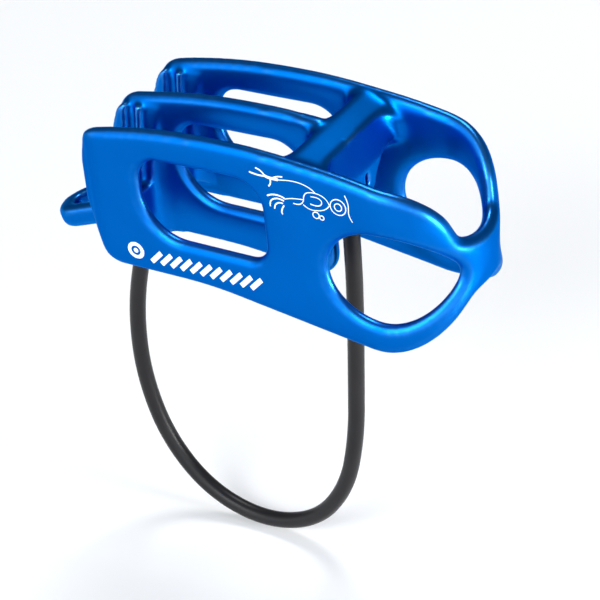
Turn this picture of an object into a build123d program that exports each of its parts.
from build123d import *
import math
import os

# Tube-style belay device with a guide eye, a nose release ring and a hanging cable loop.
# Millimetres. The origin is the centre of the guide eye, +X points to the eye end, the nose is at -X,
# +Y is across the rope slots and +Z is up. The rope slots run along X and are open at the top and bottom.

os.makedirs("parts", exist_ok=True)

# ---- forged body: plan ----
wall = 3.7                  # each of the three upright walls
slot_width = 11.1           # clear width of each rope slot, for ropes to 10.5 mm
wall_pitch = slot_width + wall          # centre wall to side wall
outer_half = wall_pitch + wall / 2      # half of the body's width
inner_half = wall_pitch - wall / 2
slot_mid_y = wall_pitch / 2
bend_x = -1.2               # centre of the U bend that joins the side walls
slot_front_x = -57.5        # front end of the rope slots
slot_corner = 3.6           # corner radius of a rope slot in plan
web_front_x = -19.4         # cross web behind the slots
web_thick = 7.0
web_rear_x = web_front_x + web_thick
chamber_corner = 5.0        # corner radius behind the web

# ---- forged body: side outline ----
nose_x = -65.8              # front edge of the walls
nose_corner_r = 5.0         # outer corners of the nose in plan
top_front_z = 18.7          # walls' top at the nose
crown_front_x, crown_front_z = -46.0, 22.3      # the walls' top is a long, flat arch over
crown_x, crown_z = -26.0, 22.8                  # these three corners
crown_rear_x, crown_rear_z = -6.0, 20.9
crown_r = 120.0
eye_top_x, eye_top_z = 10.2, 17.5       # corner over the guide eye
base_z = -10.5              # flat underside
eye_lobe_r = 15.6           # underside round the guide eye
bar_top_z, bar_bottom_z = 5.6, -4.4     # the end bar that the carabiner bears on
edge_flat = 0.15            # flat left on each side of the middle of a wall's edge
edge_r = wall / 2 - edge_flat           # rounding of the walls' edges
bar_rear_x = outer_half + 4             # past the U bend, where the outline runs off the body
bar_root_top_x, bar_root_base_x = 13.5, 14.65   # where the end bar meets the rims of the guide eye
eye_lobe_x, eye_lobe_z = 8.1, -17.5     # corner under the guide eye
base_run_x = -38.0          # where the flat underside starts to drop to the guide eye
nose_foot = 3.7             # the walls' front edge leans back by this at the underside
nose_bulge_z = 3.5          # height of the furthest point of the nose

# ---- openings in the walls ----
eye_width, eye_height = 22.5, 19.5      # guide eye, cut across both side walls
window_front_x, window_rear_x = -52.3, -24.2
window_top_z, window_base_z = 15.2, -1.9
window_top_rise = 0.6       # the window's top is this much higher at the rear

# ---- web and boss ----
web_base_z = 7.0
web_crown_drop, web_front_drop, web_rear_drop = 1.1, 3.4, 2.6   # web's top below the walls' crown
boss_rear_x, boss_top_z = -10.2, 13.0   # the wedge behind the web that holds the cable's rear end
web_arch_r, web_arch_y = 6.4, 9.4       # tunnel under the web in each slot
web_arch_front_z, web_arch_rear_z = 9.4, 13.6   # the tunnel's roof rises to the rear

# ---- nose ----
face_x = -66.0              # front face between the walls
groove_top_z = 18.0         # top of the friction grooves' flanks
groove_floor_z = 2.0
groove_half_top, groove_half_floor = 4.5, 2.2
flank_relief = 0.9          # how far the ribs stand out of the flanks
lip_width = 3.4             # front lip of each groove
rib_width, rib_gap = 1.4, 2.2           # second rib, and the gap before it
underside_arch_r, underside_arch_y = 3.9, 9.6
ring_width, ring_slot = 12.0, 6.2       # release ring
ring_tip_x, ring_tip_z = -83.2, -12.2
ring_root_x, ring_root_z = -64.0, -5.2
ring_thick, ring_tip_wall = 4.8, 3.9
ring_edge_r = 1.6
pocket_arch_z = 3.4         # top of the pocket over the ring
pocket_floor_x, pocket_top_x = -65.5, -63.2

# ---- cable ----
sheath_d, wire_d = 3.4, 2.0
sleeve_d, sleeve_length = 3.2, 5.0      # swaged end stops
sleeve_clear = 0.1          # sleeve in its hole
hole_depth = 8.5            # from the middle of the seat
seat_clear = 0.15           # the sheath's round end in its seat
seat_drop = 0.7             # middle of the seat above the underside
mouth_r = 2.75              # countersunk mouth, which lets the loop lean to the side
front_mouth = (-62.5, base_z + seat_drop)
rear_mouth = (-14.8, web_base_z + seat_drop)
slit_width, slit_base_z, slit_top_z = 1.1, 9.8, 12.4    # inspection slit to the rear hole

# Corners of the cable's route in the plane of symmetry, front mouth to rear mouth.
cable_route = [
    (front_mouth[0], front_mouth[1]), (-66.4, -21.2), (-69.5, -35.4), (-69.7, -50.6), (-65.7, -65.4),
    (-56.4, -76.6), (-42.9, -80.6), (-29.7, -76.2), (-21.5, -65.0), (-18.1, -50.8),
    (-16.9, -36.4), (-15.7, -21.4), (-14.9, -6.8), (rear_mouth[0], rear_mouth[1]),
]


def bend_radii(points, share=0.45):
    """The largest tangent arc at each inner corner: a share of the shorter run over tan(half the turn)."""
    radii = []
    for before, corner, after in zip(points, points[1:], points[2:]):
        into = Vector(corner[0] - before[0], corner[1] - before[1])
        out = Vector(after[0] - corner[0], after[1] - corner[1])
        turn = math.radians(into.get_angle(out))
        radii.append(share * min(into.length, out.length) / math.tan(turn / 2))
    return radii


outline_corners = [
    (nose_x, top_front_z), (crown_front_x, crown_front_z), (crown_x, crown_z),
    (crown_rear_x, crown_rear_z), (eye_top_x, eye_top_z), (bar_root_top_x, bar_top_z),
    (bar_rear_x, bar_top_z), (bar_rear_x, bar_bottom_z), (bar_root_base_x, bar_bottom_z),
    (eye_lobe_x, eye_lobe_z), (base_run_x, base_z), (nose_x + nose_foot, base_z), (nose_x - 0.1, nose_bulge_z),
]
outline_radii = [6.0, crown_r, crown_r, crown_r, 12.6, 2.4, 0, 0, 2.0, eye_lobe_r, 80.0, 4.5, 20.0]
window_corners = [
    (window_front_x, window_base_z), (window_rear_x, window_base_z),
    (window_rear_x, window_top_z + window_top_rise), (window_front_x, window_top_z),
]
window_radii = [9.5, 4.0, 6.0, 5.5]

front_run = Vector(cable_route[1][0] - front_mouth[0], 0, cable_route[1][1] - front_mouth[1]).normalized()
rear_run = Vector(cable_route[-2][0] - rear_mouth[0], 0, cable_route[-2][1] - rear_mouth[1]).normalized()
front_point = Vector(front_mouth[0], 0, front_mouth[1])
rear_point = Vector(rear_mouth[0], 0, rear_mouth[1])
front_up = Plane(origin=front_point, z_dir=-front_run)
rear_up = Plane(origin=rear_point, z_dir=-rear_run)

# ---------------------------------------------------------------- side walls and U bend
with BuildPart() as shell:
    with BuildSketch(Plane.XY.offset(base_z - 12)) as shell_plan:
        with BuildLine():
            Polyline((bend_x, outer_half), (nose_x - 6, outer_half), (nose_x - 6, inner_half),
                     (bend_x, inner_half))
            ThreePointArc((bend_x, inner_half), (bend_x + inner_half, 0), (bend_x, -inner_half))
            Polyline((bend_x, -inner_half), (nose_x - 6, -inner_half), (nose_x - 6, -outer_half),
                     (bend_x, -outer_half))
            ThreePointArc((bend_x, -outer_half), (bend_x + outer_half, 0), (bend_x, outer_half))
        make_face()
    extrude(amount=50)
    with BuildSketch(Plane.XZ.offset(-30)) as shell_side:
        with BuildLine():
            FilletPolyline(outline_corners, radius=outline_radii, close=True)
        make_face()
    extrude(amount=60, mode=Mode.INTERSECT)
    with BuildSketch(Plane.XZ.offset(-30)) as eye_cut:
        Ellipse(eye_width / 2, eye_height / 2)
    extrude(amount=60, mode=Mode.SUBTRACT)
    with BuildSketch(Plane.XZ.offset(-30)) as window_cut:
        with BuildLine():
            FilletPolyline(window_corners, radius=window_radii, close=True)
        make_face()
    extrude(amount=60, mode=Mode.SUBTRACT)

    fillet(shell.edges(), radius=edge_r)
    with BuildSketch(Plane.XY.offset(base_z - 12)) as nose_corners:
        with Locations((nose_x + 60, 0)):
            RectangleRounded(120, 2 * outer_half, nose_corner_r)
    extrude(amount=50, mode=Mode.INTERSECT)

# ---------------------------------------------------------------- centre wall
with BuildPart() as centre_wall:
    with BuildSketch(Plane.XZ.offset(-wall / 2)) as centre_side:
        with BuildLine():
            FilletPolyline(outline_corners, radius=outline_radii, close=True)
        make_face()
        with Locations((web_front_x + 1.2 + 30, 0)):
            Rectangle(60, 120, mode=Mode.SUBTRACT)
        fillet(centre_side.vertices().group_by(Axis.X)[-1].sort_by(Axis.Y)[0], radius=5.0)
        with BuildLine():
            FilletPolyline(window_corners, radius=window_radii, close=True)
        make_face(mode=Mode.SUBTRACT)
    extrude(amount=wall)
    fillet(centre_wall.edges(), radius=edge_r)

# ---------------------------------------------------------------- web behind the slots, with its boss
with BuildPart() as web:
    with BuildSketch(Plane.XY.offset(web_base_z)) as web_plan:
        with Locations(((web_front_x + web_rear_x) / 2, 0)):
            Rectangle(web_thick + 10, 2 * (inner_half + wall / 2))
        for side in (-1, 1):
            with Locations(((slot_front_x + web_front_x) / 2, side * slot_mid_y)):
                RectangleRounded(web_front_x - slot_front_x, slot_width, slot_corner, mode=Mode.SUBTRACT)
        with Locations((web_rear_x + 15, 0)):
            RectangleRounded(30, 2 * inner_half, chamber_corner, mode=Mode.SUBTRACT)
    extrude(amount=crown_z - web_base_z)
    with BuildSketch(Plane.XZ.offset(-30)) as web_side:
        with BuildLine():
            FilletPolyline([(web_front_x - 4, crown_z - web_front_drop),
                            (web_front_x + 1.5, crown_z - web_crown_drop),
                            (web_rear_x - 0.6, crown_z - web_rear_drop),
                            (web_rear_x + chamber_corner, boss_top_z + 3.0),
                            (web_rear_x + chamber_corner, web_base_z), (web_front_x - 4, web_base_z)],
                           radius=[0.5, 3.5, 2.2, 1.5, 1.5, 0.5], close=True)
        make_face()
    extrude(amount=60, mode=Mode.INTERSECT)
    with BuildSketch(Plane.XZ.offset(-inner_half - wall / 2)) as boss_side:
        with BuildLine():
            FilletPolyline([(web_rear_x - 0.3, crown_z - web_rear_drop - 0.3), (boss_rear_x, boss_top_z),
                            (boss_rear_x, web_base_z), (web_front_x + 1, web_base_z)],
                           radius=[0.5, 1.4, 1.5, 0.5], close=True)
        make_face()
    extrude(amount=2 * inner_half + wall)
    arch_tilt = math.atan2(web_arch_rear_z - web_arch_front_z, boss_rear_x - web_front_x)
    arch_z = (web_arch_front_z + web_arch_rear_z) / 2 - web_arch_r / math.cos(arch_tilt)
    for side in (-1, 1):
        with Locations(((web_front_x + boss_rear_x) / 2, side * web_arch_y, arch_z)):
            Cylinder(web_arch_r, 60, rotation=(0, 90 - math.degrees(arch_tilt), 0), mode=Mode.SUBTRACT)

# ---------------------------------------------------------------- nose block with the friction grooves
with BuildPart() as nose:
    with BuildSketch(Plane.XY.offset(base_z)) as nose_plan:
        with Locations(((face_x + slot_front_x + 4) / 2, 0)):
            Rectangle(slot_front_x + 4 - face_x, 2 * (inner_half + wall / 2))
        for side in (-1, 1):
            with Locations(((slot_front_x + web_front_x) / 2, side * slot_mid_y)):
                RectangleRounded(web_front_x - slot_front_x, slot_width, slot_corner, mode=Mode.SUBTRACT)
    extrude(amount=groove_top_z - base_z)
    for side in (-1, 1):
        with BuildSketch(Plane.YZ.offset(face_x - 1)) as groove_cut:
            with BuildLine():
                FilletPolyline([(side * slot_mid_y - groove_half_top - flank_relief, groove_top_z),
                                (side * slot_mid_y - groove_half_floor - flank_relief, groove_floor_z),
                                (side * slot_mid_y + groove_half_floor + flank_relief, groove_floor_z),
                                (side * slot_mid_y + groove_half_top + flank_relief, groove_top_z)],
                               radius=[0, 1.5, 1.5, 0], close=True)
            make_face()
        extrude(amount=slot_front_x + 5 - face_x, mode=Mode.SUBTRACT)
        for x0, width in ((face_x, lip_width), (face_x + lip_width + rib_gap, rib_width)):
            with BuildSketch(Plane.YZ.offset(x0)) as rib:
                with Locations((side * slot_mid_y, (base_z + groove_top_z) / 2)):
                    Rectangle(slot_width + wall, groove_top_z - base_z)
                with BuildLine():
                    FilletPolyline([(side * slot_mid_y - groove_half_top, groove_top_z + 0.01),
                                    (side * slot_mid_y - groove_half_floor, groove_floor_z),
                                    (side * slot_mid_y + groove_half_floor, groove_floor_z),
                                    (side * slot_mid_y + groove_half_top, groove_top_z + 0.01)],
                                   radius=[0, 1.5, 1.5, 0], close=True)
                make_face(mode=Mode.SUBTRACT)
            extrude(amount=width)
    for side in (-1, 1):
        with Locations((0, side * underside_arch_y, base_z + 0.7)):
            Cylinder(underside_arch_r, 200, rotation=(0, 90, 0), mode=Mode.SUBTRACT)
    with BuildSketch(Plane.XZ.offset(-30)) as nose_side:
        with BuildLine():
            FilletPolyline([(face_x + 1.6, groove_top_z), (slot_front_x + 4, groove_top_z),
                            (slot_front_x + 4, base_z), (face_x + 3.4, base_z), (face_x, 2.0),
                            (face_x, groove_top_z - 6)],
                           radius=[3, 0, 0, 3, 8, 10], close=True)
        make_face()
    extrude(amount=60, mode=Mode.INTERSECT)

# ---------------------------------------------------------------- release ring under the nose
ring_run = Vector(ring_tip_x - ring_root_x, 0, ring_tip_z - ring_root_z)
ring_length = ring_run.length
ring_plane = Plane(origin=(ring_root_x, 0, ring_root_z), x_dir=ring_run.normalized(),
                   z_dir=Vector(ring_run.Z, 0, -ring_run.X).normalized())
with BuildPart() as ring:
    with BuildSketch(ring_plane.offset(-ring_thick / 2)) as ring_outer:
        with Locations((ring_length / 2, 0)):
            RectangleRounded(ring_length, ring_width, ring_width / 2 - 0.01)
        with Locations((ring_length / 4, 0)):
            Rectangle(ring_length / 2, ring_width)
    extrude(amount=ring_thick)
    fillet(ring.edges().filter_by(
        lambda e: abs((e.center() - ring_plane.origin).dot(ring_plane.z_dir)) > ring_thick / 2 - 0.01
        and (e.center() - ring_plane.origin).dot(ring_plane.x_dir) > 1), radius=ring_edge_r)

with BuildPart() as pocket:
    with BuildSketch(Plane.XZ.offset(-ring_slot / 2)) as pocket_side:
        with BuildLine():
            Polyline((pocket_top_x, pocket_arch_z), (pocket_floor_x, base_z - 1.5), (pocket_floor_x, -24),
                     (ring_tip_x + ring_tip_wall + ring_slot / 2, -24),
                     (ring_tip_x + ring_tip_wall + ring_slot / 2, 2), (face_x - 3, pocket_arch_z), close=True)
        make_face()
    extrude(amount=ring_slot)
    fillet(pocket.edges().group_by(Axis.Z)[-1].filter_by(Axis.X), radius=2.4)
    with BuildSketch(ring_plane.offset(-8)) as slot_end:
        with Locations((ring_length - ring_tip_wall - ring_slot / 2, 0)):
            Circle(ring_slot / 2)
    extrude(amount=16)

with BuildPart() as forged:
    add(shell.part)
    add(centre_wall.part)
    add(web.part)
    add(nose.part)
    add(ring.part)
    add(pocket.part, mode=Mode.SUBTRACT)
    # blind holes for the cable's two ends, each with a round seat and a countersunk mouth
    for hole in (front_up, rear_up):
        with BuildSketch(hole):
            Circle(sleeve_d / 2 + sleeve_clear)
        extrude(amount=hole_depth, mode=Mode.SUBTRACT)
        with Locations(hole.location):
            Sphere(sheath_d / 2 + seat_clear, mode=Mode.SUBTRACT)
        with BuildSketch(hole):
            Circle(sheath_d / 2 + seat_clear)
        with BuildSketch(hole.offset(-seat_drop - 1.2)):
            Circle(mouth_r + 1.0)
        loft(mode=Mode.SUBTRACT)
    with Locations((boss_rear_x, 0, (slit_base_z + slit_top_z) / 2)):
        Box(2 * (boss_rear_x - rear_mouth[0]), slit_width, slit_top_z - slit_base_z, mode=Mode.SUBTRACT)

forged.part.label = "forged_body"
export_step(forged.part, "parts/forged_body.step")

# ---------------------------------------------------------------- cable loop
radii = bend_radii(cable_route)
print("cable bend radii:", [round(r, 1) for r in radii])

with BuildPart() as sheath:
    with BuildLine(Plane.XZ) as sheath_path:
        FilletPolyline(cable_route, radius=radii)
    with BuildSketch(Plane(origin=front_point, z_dir=front_run)) as sheath_section:
        Circle(sheath_d / 2)
        Circle(wire_d / 2, mode=Mode.SUBTRACT)
    sweep(path=sheath_path.wires()[0])
    for hole in (front_up, rear_up):
        with Locations(hole.location):
            Sphere(sheath_d / 2, arc_size1=0, align=(Align.CENTER, Align.CENTER, Align.MIN))
cable_length = sheath_path.wires()[0].length
ring_area = math.pi / 4 * (sheath_d ** 2 - wire_d ** 2)
print("cable length", round(cable_length, 1), "sheath volume over section x length",
      round((sheath.part.volume - 4 / 3 * math.pi * (sheath_d / 2) ** 3) / (ring_area * cable_length), 4))
sheath.part.label = "cable_sheath"
export_step(sheath.part, "parts/cable_sheath.step")

with BuildPart() as wire:
    with BuildLine(Plane.XZ) as wire_path:
        FilletPolyline(cable_route, radius=radii)
    with BuildSketch(Plane(origin=front_point, z_dir=front_run)) as wire_section:
        Circle(wire_d / 2)
    sweep(path=wire_path.wires()[0])
wire.part.label = "wire_rope"
export_step(wire.part, "parts/wire_rope.step")

# ---------------------------------------------------------------- the wire's ends and their swaged stops
tail_start = sheath_d / 2 + seat_clear + 0.1
with BuildPart() as front_end:
    with BuildSketch(front_up.offset(tail_start)):
        Circle(wire_d / 2)
    extrude(amount=hole_depth - tail_start)
front_end.part.label = "front_cable_end"
export_step(front_end.part, "parts/front_cable_end.step")

with BuildPart() as rear_end:
    with BuildSketch(rear_up.offset(tail_start)):
        Circle(wire_d / 2)
    extrude(amount=hole_depth - tail_start)
rear_end.part.label = "rear_cable_end"
export_step(rear_end.part, "parts/rear_cable_end.step")

with BuildPart() as front_stop:
    with BuildSketch(front_up.offset(hole_depth - sleeve_length)):
        Circle(sleeve_d / 2)
        Circle(wire_d / 2, mode=Mode.SUBTRACT)
    extrude(amount=sleeve_length)
front_stop.part.label = "front_end_stop"
export_step(front_stop.part, "parts/front_end_stop.step")

with BuildPart() as rear_stop:
    with BuildSketch(rear_up.offset(hole_depth - sleeve_length)):
        Circle(sleeve_d / 2)
        Circle(wire_d / 2, mode=Mode.SUBTRACT)
    extrude(amount=sleeve_length)
rear_stop.part.label = "rear_end_stop"
export_step(rear_stop.part, "parts/rear_end_stop.step")
